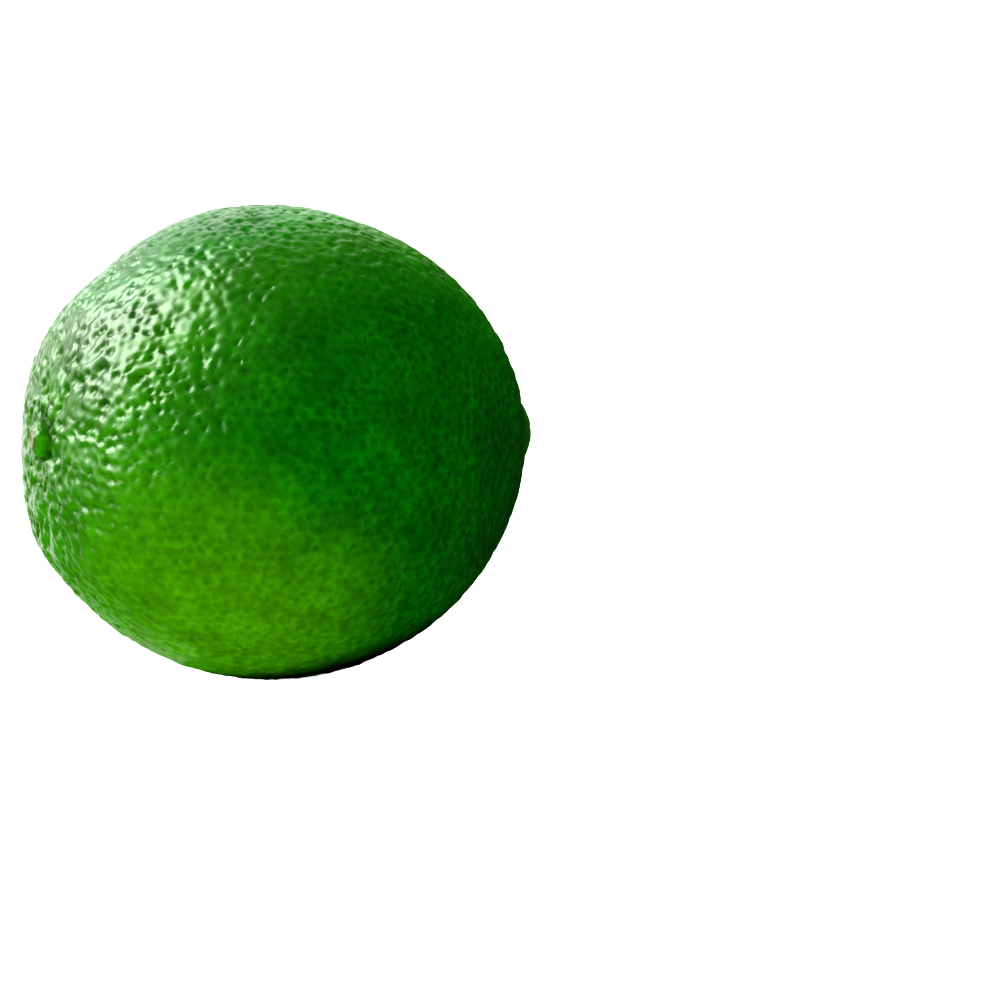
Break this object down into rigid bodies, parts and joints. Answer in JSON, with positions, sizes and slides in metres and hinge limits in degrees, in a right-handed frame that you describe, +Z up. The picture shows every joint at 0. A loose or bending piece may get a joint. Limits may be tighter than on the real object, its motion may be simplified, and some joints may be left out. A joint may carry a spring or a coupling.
{
  "type": "lime",
  "caption": "Whole fresh green lime lying on its side, with pitted peel, a small nipple at one end and the button of its cut stalk in a shallow hollow at the other.",
  "frame": {"origin": "on the surface that the lime lies on, under the middle of its box", "axes": "+X to the nipple, along the fruit's length; -X to the stem end; +Z up from the surface it lies on"},
  "size_m": [0.0624, 0.055, 0.0547],
  "materials": {
    "peel": "deep green waxy citrus peel, pitted over each oil gland, with a satin gloss",
    "calyx": "smooth matt green calyx with a dry tan cut face"
  },
  "bodies": {
    "root": {"fruit": "peel", "stem_button": "calyx"}
  },
  "joints": []
}
